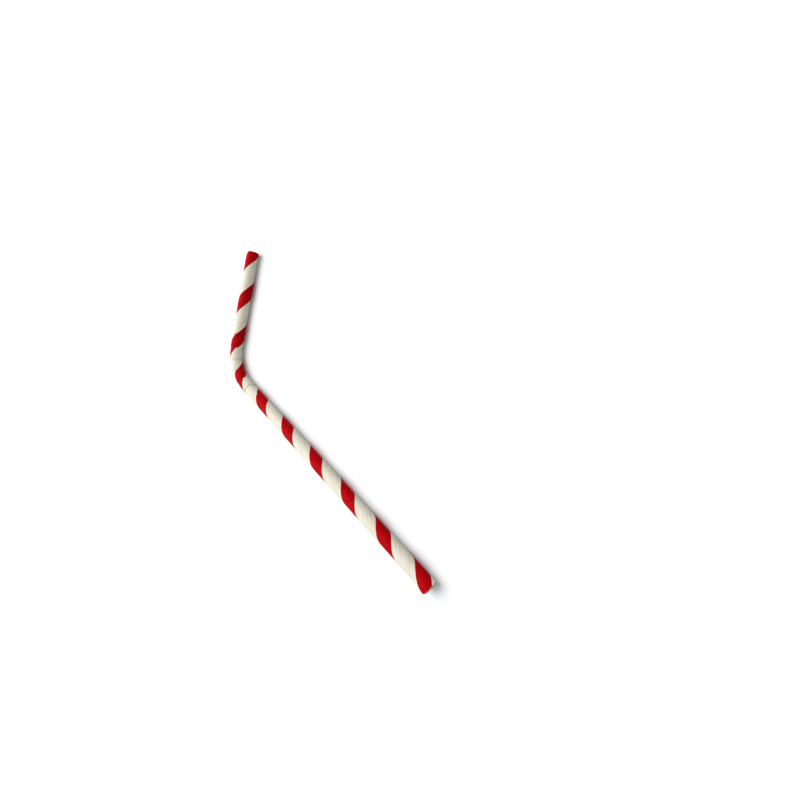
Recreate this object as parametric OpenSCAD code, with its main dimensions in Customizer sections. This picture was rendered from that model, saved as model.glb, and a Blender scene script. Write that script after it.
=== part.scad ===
// A bendy paper drinking straw with one red spiral stripe, bent and lying on its side.
// The long arm runs along X, the short arm turns away from it towards +Y, and both lie on z = 0.

/* [Tube] */
// Length of the straw along its paper, from the drinking end to the foot
straw_length = 200; // [150:1:260]
// Outside diameter of the paper tube
tube_od = 5.8; // [5:0.1:8]
// Thickness of the wound paper wall
wall = 0.4; // [0.35:0.05:0.6]

/* [Creases] */
// Distance from the drinking end to the middle of the first crease
crease_start = 35; // [25:1:45]
// Distance from one crease to the next
crease_pitch = 7; // [6:0.5:9]
// Number of creases pressed round the tube
crease_count = 9; // [4:1:12]
// Width of the bottom of an unbent crease
crease_width = 0.3; // [0.2:0.05:0.6]
// Depth of a crease below the tube's outside
crease_depth = 0.2; // [0.1:0.05:0.25]
// Length over which the paper slopes down into a crease
crease_flank = 0.35; // [0.2:0.05:0.6]

/* [Bend] */
// Angle by which the short arm is bent away from the long arm
bend_angle = 61; // [10:1:90]
// Where the bend's middle falls, counted in creases from the first one
bend_at = 3.5; // [2:0.5:4.5]
// How many creases to either side of that middle share the bend
bend_spread = 3.15; // [2:0.05:4]

/* [Stripe] */
// Length along the straw of one turn of the stripe
stripe_pitch = 21.5; // [15:0.5:30]
// Width of the stripe, measured along the straw
stripe_width = 8.9; // [4:0.1:12]
// Where a turn of the stripe begins on the inner side of the bend, from the drinking end
stripe_from = 16.5; // [0:0.5:30]
// Thickness of the printed stripe
stripe_proud = 0.05; // [0.03:0.01:0.1]

/* [Hidden] */
// Facets of the round faces
$fn = 96;
// Turn of the stripe between two slices of its edge
slice_turn = 15;
// Gap between the print on a flat and the print in the crease next to it
print_gap = 0.01;

r_out = tube_od / 2;
r_neck = r_out - crease_depth;
// How far a flat runs on under the crease next to it, and the crease into the flat
root = crease_width / 4;
overlap = crease_flank / 2;
axis_z = r_out + stripe_proud;

// Degrees that each crease turns: most in the middle of the bend, none beyond its spread
function weight(i) = let (d = abs(i - bend_at) / bend_spread) d < 1 ? pow(cos(90 * d), 2) : 0;
weights = [for (i = [0 : crease_count - 1]) weight(i)];
weight_sum = weights * [for (i = [0 : crease_count - 1]) 1];
turns = [for (w = weights) bend_angle * w / weight_sum];

// How far a crease opens: its outer side keeps all its paper, its inner side folds it away
function opening(i) = r_out * turns[i] * PI / 180;
function axis_length(i) = crease_width + opening(i);
function paper_length(i) = axis_length(i) + opening(i);
function bend_radius(i) = axis_length(i) * 180 / (PI * turns[i]);
function crease_at(i) = crease_start + i * crease_pitch;

// Flat number i lies before crease number i, and the last one runs to the foot
function flat_from(i) = i == 0 ? 0 : crease_at(i - 1) + paper_length(i - 1) / 2;
function flat_to(i) = i == crease_count ? straw_length : crease_at(i) - paper_length(i) / 2;
function flat_length(i) = flat_to(i) - flat_from(i);

// Places are [x, y, heading]: the axis runs from the drinking end, and its heading rises to 0
function ahead(place, d) = place + [d * cos(place[2]), d * sin(place[2]), 0];
function chord(i) = turns[i] == 0 ? axis_length(i) : 2 * bend_radius(i) * sin(turns[i] / 2);
function past_crease(place, i) =
    ahead(place + [0, 0, turns[i] / 2], chord(i)) + [0, 0, turns[i] / 2];
flats = [for (i = 0, p = [0, 0, -bend_angle]; i <= crease_count;
    p = i < crease_count ? past_crease(ahead(p, flat_length(i)), i) : p, i = i + 1) p];

// The middle of the straw's box, from the drinking end
foot = ahead(flats[crease_count], flat_length(crease_count));
box_low = [-r_out * sin(bend_angle), foot[1] - r_out];
box_high = [foot[0], r_out * cos(bend_angle)];
centre = (box_low + box_high) / 2;

// Angle round the axis at which the stripe begins, from the bend's inner side upwards
function stripe_angle(m) = 360 * (m - stripe_from - stripe_width) / stripe_pitch;
stripe_span = 360 * stripe_width / stripe_pitch;

// Puts its children at a place, with the axis along X and the bend's inner side at +Y
module at(place) {
    translate([place[0] - centre[0], place[1] - centre[1], axis_z])
        rotate([0, 0, place[2]])
            children();
}

// Outside of a flat along its axis, as [radius, distance]: it slopes down to the creases next to it
function flat_outline(i, run_on = 0) = let (
    n = flat_length(i),
    foot_r = r_neck - run_on * crease_depth / crease_flank) [
    if (i > 0) [foot_r, -run_on],
    [r_out, i > 0 ? crease_flank : 0],
    [r_out, i < crease_count ? n - crease_flank : n],
    if (i < crease_count) [foot_r, n + run_on]];

// Turns a shape that is drawn round Z so that it lies along X
module lay() {
    rotate([90, 0, 90])
        children();
}

module flat_tube(i) {
    outside = flat_outline(i, root);
    r_bore = r_out - wall;
    lay()
        rotate_extrude()
            polygon(concat([[r_bore, outside[0][1]]], outside, [[r_bore, outside[len(outside) - 1][1]]]));
}

// Sweeps a shape that is drawn round the axis through a crease, from one distance to another
module sweep_crease(i, from, to) {
    if (turns[i] == 0)
        translate([from, 0, 0])
            lay()
                linear_extrude(to - from)
                    children();
    else
        let (per_mm = turns[i] / axis_length(i))
            translate([0, bend_radius(i), 0])
                rotate([0, 0, from * per_mm - 90])
                    rotate_extrude(angle = (to - from) * per_mm)
                        translate([bend_radius(i), 0])
                            mirror([1, 0])
                                children();
}

module ring(outer, inner) {
    difference() {
        circle(outer);
        circle(inner);
    }
}

// Slice of a disc that the stripe covers
module stripe_sector() {
    reach = 2 * r_out;
    polygon(concat([[0, 0]], [for (k = [0 : 4]) reach * [cos(k * stripe_span / 4), sin(k * stripe_span / 4)]]));
}

module flat_stripe(i) {
    outside = flat_outline(i);
    back = [for (k = [len(outside) - 1 : -1 : 0]) outside[k] + [stripe_proud, 0]];
    turn = 360 * flat_length(i) / stripe_pitch;
    lay()
        intersection() {
            rotate_extrude()
                polygon(concat(outside, back));
            rotate([0, 0, stripe_angle(flat_from(i))])
                linear_extrude(flat_length(i), twist = -turn, slices = ceil(turn / slice_turn), segments = 1)
                    stripe_sector();
        }
}

// The print in a crease keeps the angle that the stripe has in the crease's middle
module crease_stripe(i) {
    sweep_crease(i, print_gap, axis_length(i) - print_gap)
        intersection() {
            ring(r_neck + stripe_proud, r_neck);
            rotate(stripe_angle(crease_at(i)))
                stripe_sector();
        }
}

module paper_tube() {
    color("white") {
        for (i = [0 : crease_count])
            at(flats[i])
                flat_tube(i);
        for (i = [0 : crease_count - 1])
            at(ahead(flats[i], flat_length(i)))
                sweep_crease(i, -overlap, axis_length(i) + overlap)
                    ring(r_neck, r_neck - wall);
    }
}

module printed_stripe() {
    color("crimson") {
        for (i = [0 : crease_count])
            at(flats[i])
                flat_stripe(i);
        for (i = [0 : crease_count - 1])
            at(ahead(flats[i], flat_length(i)))
                crease_stripe(i);
    }
}

paper_tube();
printed_stripe();
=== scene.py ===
"""A bendy paper drinking straw with one red spiral stripe, bent and lying on its side."""
import math

import bpy
import numpy as np
from mathutils import Matrix, Vector


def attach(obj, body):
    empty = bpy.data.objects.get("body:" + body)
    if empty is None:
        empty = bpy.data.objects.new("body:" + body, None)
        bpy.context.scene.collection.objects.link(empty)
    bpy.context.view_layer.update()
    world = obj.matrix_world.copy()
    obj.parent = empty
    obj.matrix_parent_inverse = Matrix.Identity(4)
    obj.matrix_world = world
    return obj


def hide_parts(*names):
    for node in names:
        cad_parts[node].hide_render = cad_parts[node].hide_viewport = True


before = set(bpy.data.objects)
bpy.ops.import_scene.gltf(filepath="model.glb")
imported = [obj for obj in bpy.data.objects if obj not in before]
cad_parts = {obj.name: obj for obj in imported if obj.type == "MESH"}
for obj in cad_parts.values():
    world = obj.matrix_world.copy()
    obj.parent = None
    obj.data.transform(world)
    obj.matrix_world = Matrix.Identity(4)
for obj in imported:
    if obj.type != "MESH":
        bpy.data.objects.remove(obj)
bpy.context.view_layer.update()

MM = 0.001

# The straw's sizes in millimetres and degrees, as in the part's source
STRAW_LENGTH = 200.0
RADIUS = 2.9
WALL = 0.4
CREASE_START = 35.0
CREASE_PITCH = 7.0
CREASES = 9
CREASE_WIDTH = 0.3
CREASE_DEPTH = 0.2
CREASE_FLANK = 0.35
BEND_ANGLE = 61.0
BEND_AT = 3.5
BEND_SPREAD = 3.15
STRIPE_PITCH = 21.5
STRIPE_WIDTH = 8.9
STRIPE_FROM = 16.5
AXIS_HEIGHT = 2.95

# A crease that the bend doesn't open is a shallow mark: its share of the depth, and how fast that grows
# with the bend
MARK_SHARE = 0.65
MARK_GROWS = 3.5
# A bent crease is deeper inside the bend, in millimetres, and shallower outside it, as a share
FOLD_DEEPER = 0.16
FOLD_SHALLOWER = 0.35
# The paper swells a little beside a crease; the place and width are counted in flanks
SWELL = 0.018
SWELL_AT = 1.9
SWELL_WIDTH = 0.5
# How far the painted shade in a crease reaches onto the flats
SHADE_REACH = 0.3

# The print: how far it stands out of the paper and reaches into it, and how thin it gets at its edges
PRINT_PROUD = 0.03
PRINT_DEEP = 0.12
PRINT_FEATHER = 0.12
PRINT_EDGE = 0.15
# How far its edges wander, and how far pressing the first crease shifts them, both in radians; the last
# crease shifts them as far back
RAG = 0.012
RAG_WAVES = (0.9, 2.1, 4.3, 7.7, 12.1)
RAG_SEEDS = (21, 34)
CREASE_JOG = 0.18
JOG_REACH = 0.4

# The cut ends: how uneven they are, and how far the foot's cut leans in below
CUT_WAVES = (1, 2, 3, 5, 9)
CUT_UNEVEN = 0.09
CUT_REACH = 1.2
LIP_SEED = 3
FOOT_SEED = 8
FOOT_LEAN = 0.7
LEAN_REACH = 4.0
# How far the skin is pressed in at the rims, and how far the print draws back from the foot's
RIM_PRESS = 0.035
RIM_REACH = 0.12
PRINT_BACK = 0.22
BACK_WAVES = (2, 5, 11, 17)
BACK_SEED = 5
# The foot is squeezed oval by its cut and bulges to one side, where its edge is chipped
SQUEEZE = 0.40
BULGE = 0.38
BULGE_AT = 2.7
SQUEEZE_REACH = 6.5
CHIP = 0.9
CHIP_WIDTH = 0.2

# The meshes: points round the tube and across the print, and steps along the flats and in the creases
ROUND = 104
BAND_ACROSS = 44
SKIN_STEPS = (0.65, 0.09)
BORE_STEPS = (2.2, 0.25)
BAND_STEPS = (0.4, 0.05)
FLANK_MARKS = 11
FLANKS_MARKED = 2.6
RIM_MARKS = (0.04, 0.1, 0.2)
RIM_SHARES = (0.12, 0.3, 0.5, 0.7, 0.88)

# The paper's grain, in cells of noise per millimetre along the winding and across it, and its relief in
# metres
STREAK_SCALE = (0.16, 2.6, 2.6)
FINE_SCALE = (0.9, 9.0, 9.0)
CLOUD_SCALE = 0.55
GRAIN_RELIEF = 0.00004
# The outer strip's seam, in radians round the tube, and the plies in the wall
SEAM_ANGLE = 2.35
SEAM_WIDTH = 0.05
PLIES = 3.0

# Light: the sky's strength all round, and the glow that keeps the floor white for the camera, slight
# near the straw and full beyond it, with the distances in metres
FILL = 0.42
FLOOR_GREY = 0.45
FLOOR_LIFT = 0.02
FLOOR_NEAR = 0.12
FLOOR_FAR = 0.36
FLOOR_HALF = 2.0


# The line of the straw, from the drinking end to the foot

index = np.arange(CREASES)
away = np.abs(index - BEND_AT) / BEND_SPREAD
weight = np.where(away < 1, np.cos(np.pi / 2 * np.minimum(away, 1)) ** 2, 0)
TURN = np.radians(BEND_ANGLE) * weight / weight.sum()
BENT = TURN / TURN.max()
DEPTH_SHARE = np.clip(MARK_SHARE + MARK_GROWS * BENT, 0, 1)
OPENING = RADIUS * TURN
AXIS_LENGTH = CREASE_WIDTH + OPENING
PAPER_LENGTH = AXIS_LENGTH + OPENING
CREASE_AT = CREASE_START + CREASE_PITCH * index
CREASE_FROM = CREASE_AT - PAPER_LENGTH / 2
CREASE_TO = CREASE_AT + PAPER_LENGTH / 2
WIND = 2 * np.pi / STRIPE_PITCH


def line_knots():
    """Where each flat starts: distance on the paper, x, y and heading."""
    knots = [(0.0, 0.0, 0.0, -math.radians(BEND_ANGLE))]
    for i in range(CREASES):
        m, x, y, heading = knots[-1]
        flat = CREASE_FROM[i] - m
        x, y = x + flat * math.cos(heading), y + flat * math.sin(heading)
        half = TURN[i] / 2
        chord = AXIS_LENGTH[i] if half == 0 else AXIS_LENGTH[i] * math.sin(half) / half
        x, y = x + chord * math.cos(heading + half), y + chord * math.sin(heading + half)
        knots.append((CREASE_TO[i], x, y, heading + 2 * half))
    return knots


KNOTS = line_knots()
LAST_M, LAST_X, LAST_Y, _ = KNOTS[-1]
FOOT = (LAST_X + STRAW_LENGTH - LAST_M, LAST_Y)
LOW = (-RADIUS * math.sin(math.radians(BEND_ANGLE)), FOOT[1] - RADIUS)
HIGH = (FOOT[0], RADIUS * math.cos(math.radians(BEND_ANGLE)))
CENTRE = ((LOW[0] + HIGH[0]) / 2, (LOW[1] + HIGH[1]) / 2)


def line_at(m):
    """Axis point and heading at each distance m on the paper."""
    x, y, heading = np.empty_like(m), np.empty_like(m), np.empty_like(m)
    for i in range(CREASES + 1):
        start, x0, y0, h0 = KNOTS[i]
        end = CREASE_FROM[i] if i < CREASES else STRAW_LENGTH
        here = (m >= start - 1e-9) & (m <= end + 1e-9)
        x[here] = x0 + (m[here] - start) * math.cos(h0)
        y[here] = y0 + (m[here] - start) * math.sin(h0)
        heading[here] = h0
        if i == CREASES:
            break
        x1, y1 = x0 + (end - start) * math.cos(h0), y0 + (end - start) * math.sin(h0)
        inside = (m > end) & (m < CREASE_TO[i])
        share = (m[inside] - end) / PAPER_LENGTH[i]
        half = TURN[i] * share / 2
        chord = AXIS_LENGTH[i] * share * np.sinc(half / np.pi)
        x[inside] = x1 + chord * np.cos(h0 + half)
        y[inside] = y1 + chord * np.sin(h0 + half)
        heading[inside] = h0 + 2 * half
    return x, y, heading


def groove(m, angle):
    """How deep the surface lies below the tube's outside, at distance m and angle round the axis."""
    deep = np.zeros(np.broadcast(m, angle).shape)
    inner = (1 + np.cos(angle)) / 2
    for i in range(CREASES):
        beside = np.maximum(np.abs(m - CREASE_AT[i]) - PAPER_LENGTH[i] / 2, 0) / CREASE_FLANK
        across = np.clip(1 - beside, 0, 1)
        depth = CREASE_DEPTH * (DEPTH_SHARE[i] - FOLD_SHALLOWER * BENT[i] * (1 - inner))
        depth = depth + FOLD_DEEPER * BENT[i] * inner ** 2
        deep = np.maximum(deep, depth * across * across * (3 - 2 * across))
        deep = deep - SWELL * np.exp(-((beside - SWELL_AT) / SWELL_WIDTH) ** 2) * (beside > 0)
    return deep


def place(m, angle, radius):
    """Points in metres, at distance m on the paper, angle from the bend's inner side upwards, and radius."""
    x, y, heading = line_at(m)
    squeezed = np.clip(1 - (STRAW_LENGTH - m) / SQUEEZE_REACH, 0, 1) ** 1.5
    off = angle - BULGE_AT
    radius = radius + squeezed * (SQUEEZE * np.cos(2 * off) + BULGE * np.cos(off))
    inward, up = radius * np.cos(angle), radius * np.sin(angle)
    return np.stack([
        (x - np.sin(heading) * inward - CENTRE[0]) * MM,
        (y + np.cos(heading) * inward - CENTRE[1]) * MM,
        (AXIS_HEIGHT + up) * MM,
    ], axis=-1)


def wander(seed, values, waves, size):
    """A smooth and repeatable wandering of the given size, along the values."""
    rng = np.random.default_rng(seed)
    total = np.zeros_like(values)
    for wave in waves:
        total += np.sin(values * wave + rng.uniform(0, 2 * np.pi)) * rng.uniform(0.5, 1)
    return size * total / len(waves)


def cut_shift(m, angle, back=0.0):
    """How far the uneven cuts move a point along the straw; the foot's end can be drawn back further."""
    to_foot = STRAW_LENGTH - m
    lip = np.abs(wander(LIP_SEED, angle, CUT_WAVES, CUT_UNEVEN))
    foot = np.abs(wander(FOOT_SEED, angle, CUT_WAVES, CUT_UNEVEN))
    foot = foot + np.abs(wander(BACK_SEED, angle, BACK_WAVES, back))
    chip = CHIP * np.exp((np.cos(angle - BULGE_AT) - 1) / CHIP_WIDTH)
    lean = (FOOT_LEAN * (1 - np.sin(angle)) / 2 + chip) * np.clip(1 - to_foot / LEAN_REACH, 0, 1)
    near_lip = np.clip(1 - m / CUT_REACH, 0, 1) ** 2
    near_foot = np.clip(1 - to_foot / CUT_REACH, 0, 1) ** 2
    return near_lip * lip - near_foot * foot - lean


def rim_press(m):
    """How far the paper's skin is pressed into the wall at the cut rims."""
    to_end = np.minimum(m, STRAW_LENGTH - m)
    return RIM_PRESS * np.clip(1 - to_end / RIM_REACH, 0, 1) ** 2


def stations(flat_step, crease_step):
    """Distances along the paper: coarse on the flats, close together in and near the creases."""
    marks = {0.0, STRAW_LENGTH}
    marks.update(RIM_MARKS)
    marks.update(STRAW_LENGTH - r for r in RIM_MARKS)
    near = FLANKS_MARKED * CREASE_FLANK
    flank = np.linspace(0, near, FLANK_MARKS)
    edges = [RIM_MARKS[-1]]
    for i in range(CREASES):
        edges += [CREASE_FROM[i] - near, CREASE_TO[i] + near]
        marks.update(CREASE_FROM[i] - flank)
        marks.update(CREASE_TO[i] + flank)
        inside = max(2, round(PAPER_LENGTH[i] / crease_step))
        marks.update(np.linspace(CREASE_FROM[i], CREASE_TO[i], inside + 1))
    edges.append(STRAW_LENGTH - RIM_MARKS[-1])
    for start, end in zip(edges[::2], edges[1::2]):
        marks.update(np.linspace(start, end, max(2, math.ceil((end - start) / flat_step)) + 1))
    ordered = np.array(sorted(marks))
    return ordered[np.concatenate([[True], np.diff(ordered) > 1e-6])]


# Mesh building

def grid_faces(rows, columns):
    """Quads between neighbouring rows of points, each row closed round into a loop."""
    r = np.arange(rows - 1)[:, None]
    c = np.arange(columns)[None, :]
    nxt = (c + 1) % columns
    corners = [r * columns + c, r * columns + nxt, (r + 1) * columns + nxt, (r + 1) * columns + c]
    return np.stack(corners, -1).reshape(-1, 4)


def make_piece(name, points, faces, vectors, floats, slots=None):
    """A smooth mesh object from points and quads, with named vectors and numbers at its points."""
    mesh = bpy.data.meshes.new(name)
    mesh.vertices.add(len(points))
    mesh.vertices.foreach_set("co", points.astype(np.float32).ravel())
    mesh.loops.add(faces.size)
    mesh.loops.foreach_set("vertex_index", faces.ravel().astype(np.int32))
    mesh.polygons.add(len(faces))
    mesh.polygons.foreach_set("loop_start", np.arange(0, faces.size, 4, dtype=np.int32))
    mesh.polygons.foreach_set("loop_total", np.full(len(faces), 4, dtype=np.int32))
    mesh.polygons.foreach_set("use_smooth", np.ones(len(faces), dtype=bool))
    if slots is not None:
        mesh.polygons.foreach_set("material_index", slots.astype(np.int32))
    mesh.update(calc_edges=True)
    mesh.validate()
    for key, value in vectors.items():
        attribute = mesh.attributes.new(key, "FLOAT_VECTOR", "POINT")
        attribute.data.foreach_set("vector", value.astype(np.float32).ravel())
    for key, value in floats.items():
        attribute = mesh.attributes.new(key, "FLOAT", "POINT")
        attribute.data.foreach_set("value", value.astype(np.float32).ravel())
    piece = bpy.data.objects.new(name, mesh)
    bpy.context.scene.collection.objects.link(piece)
    return piece


def paper_places(m, angle):
    """Places in millimetres for the textures: on the unbent tube, and on it unwound along the stripe."""
    turned = angle - WIND * m
    return {"paper": np.stack([m, RADIUS * np.cos(angle), RADIUS * np.sin(angle)], -1),
            "wound": np.stack([m, RADIUS * np.cos(turned), RADIUS * np.sin(turned)], -1)}


def crease_share(m):
    """Mask of the painted crease shade: 1 in the middle of a bent crease, less in an unbent one, falling to 0
    on the flats beside it.
    """
    share = np.zeros_like(m)
    for i in range(CREASES):
        beside = np.maximum(np.abs(m - CREASE_AT[i]) - CREASE_WIDTH / 2, 0)
        share = np.maximum(share, (2 * DEPTH_SHARE[i] - 1) * np.exp(-(beside / SHADE_REACH) ** 2))
    return share


def build_tube():
    """The paper tube as one closed skin: its outside, its foot rim, its bore and its lip rim."""
    skin, cut, bore = 0, 1, 2
    skin_m, bore_m = stations(*SKIN_STEPS), stations(*BORE_STEPS)[::-1]
    angle = np.linspace(0, 2 * np.pi, ROUND, endpoint=False)
    rim = np.tile(RADIUS - WALL * np.array(RIM_SHARES)[:, None], ROUND)
    row_m = np.concatenate([skin_m, np.full(len(rim), STRAW_LENGTH), bore_m, np.zeros(len(rim))])[:, None]
    kind = np.repeat([skin, cut, bore, cut], [len(skin_m), len(rim), len(bore_m), len(rim)])
    radius = np.concatenate([RADIUS - groove(skin_m[:, None], angle), rim,
                             RADIUS - WALL - groove(bore_m[:, None], angle), rim[::-1]])
    outward = np.array([1, 0, -1])[kind][:, None]
    radius = radius - rim_press(row_m) * outward
    m, radius = (row_m + cut_shift(row_m, angle)).ravel(), radius.ravel()
    rows = len(row_m)
    angle = np.tile(angle, rows)
    c = np.arange(ROUND)
    nxt, last = (c + 1) % ROUND, (rows - 1) * ROUND
    closing = np.stack([last + c, last + nxt, nxt, c], -1)
    faces = np.concatenate([grid_faces(rows, ROUND), closing])
    from_kind, to_kind = kind[faces[:, 0] // ROUND], kind[faces[:, 2] // ROUND]
    on_cut = (from_kind == cut) | (to_kind == cut)
    slots = np.where(on_cut, cut, from_kind)
    return make_piece("straw_tube", place(m, angle, radius), faces, paper_places(m, angle),
                      {"depth": (RADIUS - radius) / WALL, "crease": crease_share(m)}, slots)


def stripe_edges(m):
    """Angles at which the stripe begins and ends at each m, with the print's slightly ragged edges."""
    start = WIND * (m - STRIPE_FROM - STRIPE_WIDTH)
    for i in range(CREASES):
        size = CREASE_JOG * (1 - 2 * i / (CREASES - 1))
        start = start + size * np.exp(-((m - CREASE_AT[i]) / (JOG_REACH + PAPER_LENGTH[i] / 2)) ** 2)
    begin, end = (wander(seed, m, RAG_WAVES, RAG) for seed in RAG_SEEDS)
    return start + begin, start + WIND * STRIPE_WIDTH + end


def build_band():
    """The printed stripe as a thin closed band that follows the tube's outside and its creases."""
    rows = stations(*BAND_STEPS)
    rows = rows[(rows >= RIM_MARKS[0]) & (rows <= STRAW_LENGTH - RIM_MARKS[0])]
    begin, end = stripe_edges(rows)
    across = np.linspace(0, 1, BAND_ACROSS)
    angle = begin[:, None] + (end - begin)[:, None] * across[None, :]
    row_m = np.broadcast_to(rows[:, None], angle.shape)
    paper = RADIUS - groove(row_m, angle)
    edge = np.minimum(across, 1 - across) * STRIPE_WIDTH
    outer = paper + PRINT_PROUD * np.clip(edge / PRINT_FEATHER, PRINT_EDGE, 1)
    inner = paper - PRINT_DEEP
    m, angle, radius = (np.concatenate([there, back[:, ::-1]], 1).ravel()
                        for there, back in ((row_m, row_m), (angle, angle), (outer, inner)))
    points = place(m + cut_shift(m, angle, PRINT_BACK), angle, radius - rim_press(m))
    columns = 2 * BAND_ACROSS
    k = np.arange(BAND_ACROSS - 1)
    first = np.stack([k, columns - 1 - k, columns - 2 - k, k + 1], -1)
    last = first[:, ::-1] + (len(rows) - 1) * columns
    faces = np.concatenate([grid_faces(len(rows), columns), first, last])
    return make_piece("red_stripe", points, faces, paper_places(m, angle), {"crease": crease_share(m)})


# Materials

def rgb(r, g, b):
    return (r, g, b, 1.0)


def seen_rays(tree):
    """1 for rays from the camera, straight or by way of gloss or glass, and 0 for those that gather light."""
    path = tree.nodes.new("ShaderNodeLightPath")
    seen = path.outputs["Is Camera Ray"]
    for ray in ("Is Glossy Ray", "Is Transmission Ray"):
        either = tree.nodes.new("ShaderNodeMath")
        either.operation = "MAXIMUM"
        tree.links.new(seen, either.inputs[0])
        tree.links.new(path.outputs[ray], either.inputs[1])
        seen = either.outputs[0]
    return seen


class Nodes:
    """Short calls that add nodes to a material and link them."""

    def __init__(self, name):
        self.material = bpy.data.materials.new(name)
        self.material.use_nodes = True
        self.tree = self.material.node_tree
        self.shader = self.tree.nodes["Principled BSDF"]

    def add(self, kind, inputs=(), **settings):
        node = self.tree.nodes.new(kind)
        for key, value in settings.items():
            setattr(node, key, value)
        for key, value in dict(inputs).items():
            self.feed(node.inputs[key], value)
        return node

    def feed(self, socket, value):
        """Links a socket's value, or sets it where it is the same everywhere."""
        if isinstance(value, bpy.types.NodeSocket):
            self.tree.links.new(value, socket)
        else:
            socket.default_value = value

    def vector(self, name):
        return self.add("ShaderNodeAttribute", attribute_name=name).outputs["Vector"]

    def number(self, name):
        return self.add("ShaderNodeAttribute", attribute_name=name).outputs["Fac"]

    def scaled(self, vector, scale):
        return self.add("ShaderNodeMapping", {"Vector": vector, "Scale": scale}).outputs["Vector"]

    def noise(self, vector, scale, detail, roughness):
        return self.add("ShaderNodeTexNoise", {"Vector": vector, "Scale": scale, "Detail": detail,
                                               "Roughness": roughness}).outputs["Fac"]

    def math(self, operation, first, second=0.0):
        return self.add("ShaderNodeMath", {0: first, 1: second}, operation=operation).outputs[0]

    def span(self, value, low, high, to_low=0.0, to_high=1.0):
        """A smooth rise from one number to another, while the value goes from low to high."""
        inputs = {"Value": value, "From Min": low, "From Max": high, "To Min": to_low, "To Max": to_high}
        return self.add("ShaderNodeMapRange", inputs, interpolation_type="SMOOTHSTEP").outputs["Result"]

    def mix(self, share, first, second):
        node = self.add("ShaderNodeMix", data_type="RGBA")
        self.feed(node.inputs["Factor"], share)
        self.feed(node.inputs[6], first)
        self.feed(node.inputs[7], second)
        return node.outputs[2]

    def finish(self, base, roughness, specular, height, strength, distance):
        """Sets the shader's colour, gloss and fine relief, and gives the material."""
        relief = self.add("ShaderNodeBump", {"Height": height, "Strength": strength, "Distance": distance})
        self.feed(self.shader.inputs["Base Color"], base)
        self.feed(self.shader.inputs["Roughness"], roughness)
        self.feed(self.shader.inputs["Specular IOR Level"], specular)
        self.feed(self.shader.inputs["Normal"], relief.outputs["Normal"])
        return self.material


def fibres(n):
    """Coarse and fine streaks of fibre along the winding, and the sheet's cloudiness, each 0 to 1."""
    wound = n.vector("wound")
    streak = n.noise(n.scaled(wound, STREAK_SCALE), 1.0, 4.0, 0.6)
    fine = n.noise(n.scaled(wound, FINE_SCALE), 1.0, 3.0, 0.6)
    cloud = n.noise(n.vector("paper"), CLOUD_SCALE, 3.0, 0.5)
    return streak, fine, cloud


def grain(n, streak, fine):
    return n.math("ADD", n.math("MULTIPLY", streak, 0.7), n.math("MULTIPLY", fine, 0.3))


def seam_line(n):
    """0 to 1 in a thin line along the winding, where the outer strip of paper meets its next turn."""
    wound = n.add("ShaderNodeSeparateXYZ", {"Vector": n.vector("wound")})
    angle = n.math("ARCTAN2", wound.outputs["Z"], wound.outputs["Y"])
    gap = n.math("ABSOLUTE", n.math("SUBTRACT", angle, SEAM_ANGLE))
    return n.span(gap, 0.0, SEAM_WIDTH, 1.0, 0.0)


def paper_material():
    """Warm white paper with streaks, cloudy patches, flecks, a faint seam and painted shade in the creases.
    """
    n = Nodes("wound_white_paper")
    streak, fine, cloud = fibres(n)
    seam = seam_line(n)
    # Painted shade: the paper darkens in the creases, most in the bent ones, patchy with the cloud
    painted_crease_shade = n.math("MULTIPLY", n.span(n.number("crease"), 0.45, 1.0), n.span(cloud, 0.25, 0.6, 0.35, 0.8))
    base = n.mix(n.span(streak, 0.34, 0.7), rgb(0.96, 0.925, 0.82), rgb(0.77, 0.70, 0.53))
    base = n.mix(n.span(cloud, 0.35, 0.7, 0.0, 0.35), base, rgb(0.82, 0.80, 0.64))
    base = n.mix(n.span(fine, 0.62, 0.76, 0.0, 0.4), base, rgb(0.70, 0.64, 0.54))
    base = n.mix(n.math("MULTIPLY", seam, 0.3), base, rgb(0.55, 0.50, 0.41))
    base = n.mix(painted_crease_shade, base, rgb(0.50, 0.42, 0.32))
    height = n.math("SUBTRACT", grain(n, streak, fine), n.math("MULTIPLY", seam, 0.8))
    return n.finish(base, n.span(streak, 0.2, 0.8, 0.62, 0.78), 0.2, height, 0.35, GRAIN_RELIEF)


def cut_material():
    """The rough brown edge of the cut, with dark lines between its plies."""
    n = Nodes("cut_paper_edge")
    ply = n.math("FRACT", n.math("MULTIPLY", n.number("depth"), PLIES))
    ply = n.math("ABSOLUTE", n.math("SUBTRACT", ply, 0.5))
    cloud = n.noise(n.vector("paper"), 2.4, 4.0, 0.6)
    base = n.mix(n.span(cloud, 0.3, 0.7), rgb(0.42, 0.32, 0.23), rgb(0.29, 0.20, 0.13))
    base = n.mix(n.span(ply, 0.36, 0.5, 0.0, 0.6), base, rgb(0.16, 0.11, 0.07))
    return n.finish(base, 0.9, 0.2, cloud, 0.6, 1.5 * GRAIN_RELIEF)


def inner_material():
    """The inner strip of paper: duller and browner than the outer one, and darker still as painted shade
    inside the bore.
    """
    n = Nodes("inner_paper")
    streak, fine, _ = fibres(n)
    # Partly painted shade: the bore's paper is made darker to stand in for the shade inside the tube
    base = n.mix(n.span(streak, 0.3, 0.72), rgb(0.60, 0.51, 0.40), rgb(0.50, 0.42, 0.32))
    base = n.mix(n.span(fine, 0.6, 0.8, 0.0, 0.4), base, rgb(0.38, 0.30, 0.22))
    return n.finish(base, 0.85, 0.2, n.math("ADD", streak, fine), 0.35, 0.75 * GRAIN_RELIEF)


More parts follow.
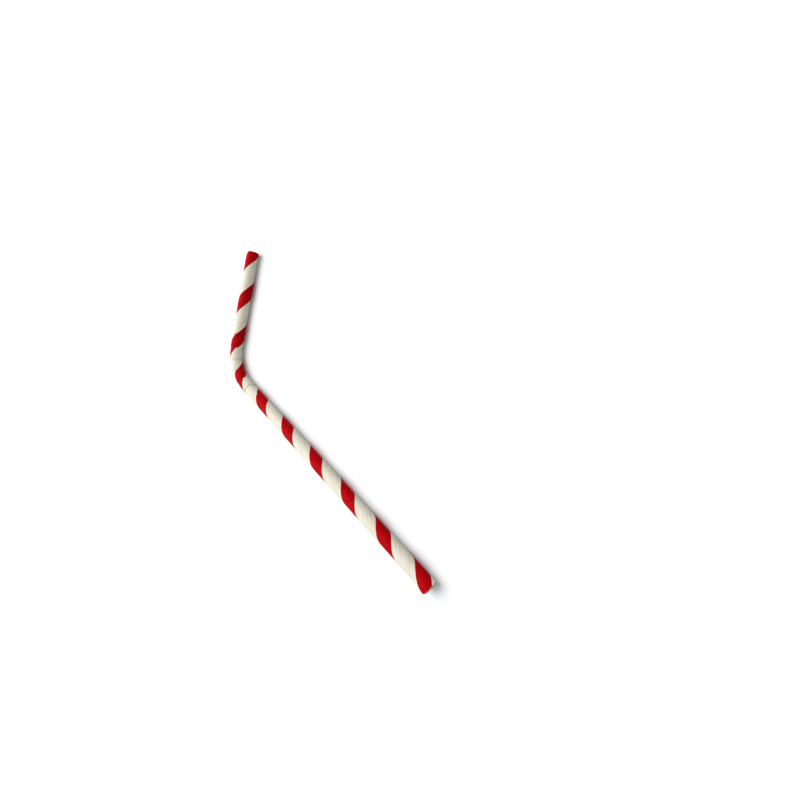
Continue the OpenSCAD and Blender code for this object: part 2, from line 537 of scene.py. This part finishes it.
def red_material():
    """Deep red ink that shows the paper's grain, with cloudy patches, flecks and painted shade in the
    creases.
    """
    n = Nodes("red_ink_on_paper")
    streak, fine, cloud = fibres(n)
    # Painted shade: the red darkens in the creases, most in the bent ones, patchy with the cloud
    painted_ink_shade = n.math("MULTIPLY", n.span(n.number("crease"), 0.05, 0.7), n.span(cloud, 0.3, 0.65, 0.2, 0.6))
    base = n.mix(n.span(streak, 0.3, 0.7), rgb(0.45, 0.0, 0.001), rgb(0.60, 0.002, 0.008))
    base = n.mix(n.span(cloud, 0.4, 0.72, 0.0, 0.5), base, rgb(0.34, 0.0, 0.001))
    base = n.mix(n.span(fine, 0.62, 0.8, 0.0, 0.35), base, rgb(0.72, 0.025, 0.03))
    base = n.mix(painted_ink_shade, base, rgb(0.24, 0.004, 0.006))
    return n.finish(base, n.span(fine, 0.2, 0.8, 0.42, 0.6), 0.03, grain(n, streak, fine), 0.35, GRAIN_RELIEF)


def floor_material():
    """A matt white floor that the camera sees brighter, so that it is white except in the straw's shadow."""
    n = Nodes("white_floor")
    n.feed(n.shader.inputs["Base Color"], rgb(FLOOR_GREY, FLOOR_GREY, FLOOR_GREY))
    n.feed(n.shader.inputs["Roughness"], 1.0)
    n.feed(n.shader.inputs["Specular IOR Level"], 0.0)
    n.feed(n.shader.inputs["Emission Color"], rgb(1.0, 1.0, 1.0))
    seen = seen_rays(n.tree)
    place_on_floor = n.add("ShaderNodeNewGeometry").outputs["Position"]
    away = n.add("ShaderNodeVectorMath", {0: place_on_floor}, operation="LENGTH").outputs["Value"]
    glow = n.span(away, FLOOR_NEAR, FLOOR_FAR, FLOOR_LIFT, 1.0)
    n.feed(n.shader.inputs["Emission Strength"], n.math("MULTIPLY", seen, glow))
    white = n.mix(seen, rgb(0.0, 0.0, 0.0), rgb(0.60, 0.615, 0.63))
    brighter = n.add("ShaderNodeBsdfDiffuse", {"Color": white})
    both = n.add("ShaderNodeAddShader", {0: n.shader.outputs[0], 1: brighter.outputs[0]})
    n.feed(n.tree.nodes["Material Output"].inputs["Surface"], both.outputs[0])
    return n.material


# The straw

tube = build_tube()
for material in (paper_material(), cut_material(), inner_material()):
    tube.data.materials.append(material)
band = build_band()
band.data.materials.append(red_material())

for piece, node, slot in ((tube, "paper_tube", "white_paper"), (band, "printed_stripe", "red_print")):
    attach(piece, "root")
    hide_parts(node)


# Floor, light and camera

def build_floor():
    corners = [(x * FLOOR_HALF, y * FLOOR_HALF, 0) for x, y in ((-1, -1), (1, -1), (1, 1), (-1, 1))]
    mesh = bpy.data.meshes.new("floor")
    mesh.from_pydata(corners, [], [(0, 1, 2, 3)])
    mesh.materials.append(floor_material())
    floor = bpy.data.objects.new("floor", mesh)
    bpy.context.scene.collection.objects.link(floor)


def soft_lamp(name, azimuth, elevation, distance, size, power):
    """A square lamp that looks at the straw from the given direction, in degrees, metres and watts."""
    data = bpy.data.lights.new(name, "AREA")
    data.shape = "SQUARE"
    data.size = size
    data.energy = power
    lamp = bpy.data.objects.new(name, data)
    a, e = math.radians(azimuth), math.radians(elevation)
    towards = Vector((math.cos(a) * math.cos(e), math.sin(a) * math.cos(e), math.sin(e)))
    lamp.location = towards * distance
    lamp.rotation_euler = towards.to_track_quat("Z", "Y").to_euler()
    bpy.context.scene.collection.objects.link(lamp)


def build_world():
    """A white sky, full to the camera and weaker as light."""
    world = bpy.data.worlds.new("studio")
    bpy.context.scene.world = world
    world.use_nodes = True
    tree = world.node_tree
    background = tree.nodes["Background"]
    background.inputs["Color"].default_value = rgb(1.0, 1.0, 1.0)
    strength = tree.nodes.new("ShaderNodeMix")
    tree.links.new(seen_rays(tree), strength.inputs["Factor"])
    strength.inputs[2].default_value = FILL
    strength.inputs[3].default_value = 1.0
    tree.links.new(strength.outputs[0], background.inputs["Strength"])


def build_camera():
    """The photograph's view, from a camera fitted to the stripe's outlines, in radians and millimetres."""
    azimuth, elevation, roll = 1.98896, 1.02594, -1.34047
    target = np.array([33.506, 18.664, 3.178])
    distance = 171.13
    level = np.array([math.cos(azimuth), math.sin(azimuth), 0.0])
    back = np.array([math.sin(azimuth) * math.cos(elevation), -math.cos(azimuth) * math.cos(elevation),
                     math.sin(elevation)])
    above = np.cross(back, level)
    right = math.cos(roll) * level + math.sin(roll) * above
    up = -math.sin(roll) * level + math.cos(roll) * above
    where = (target + distance * back) * MM
    data = bpy.data.cameras.new("camera")
    data.sensor_width = 36.0
    data.lens = 20.25
    data.clip_start = 0.005
    camera = bpy.data.objects.new("camera", data)
    camera.matrix_world = Matrix([[right[k], up[k], back[k], where[k]] for k in range(3)] + [[0, 0, 0, 1]])
    bpy.context.scene.collection.objects.link(camera)
    bpy.context.scene.camera = camera


build_floor()
build_world()
soft_lamp("key", azimuth=-158.0, elevation=56.0, distance=0.9, size=1.1, power=9.2)
build_camera()
bpy.context.scene.view_settings.view_transform = "Standard"
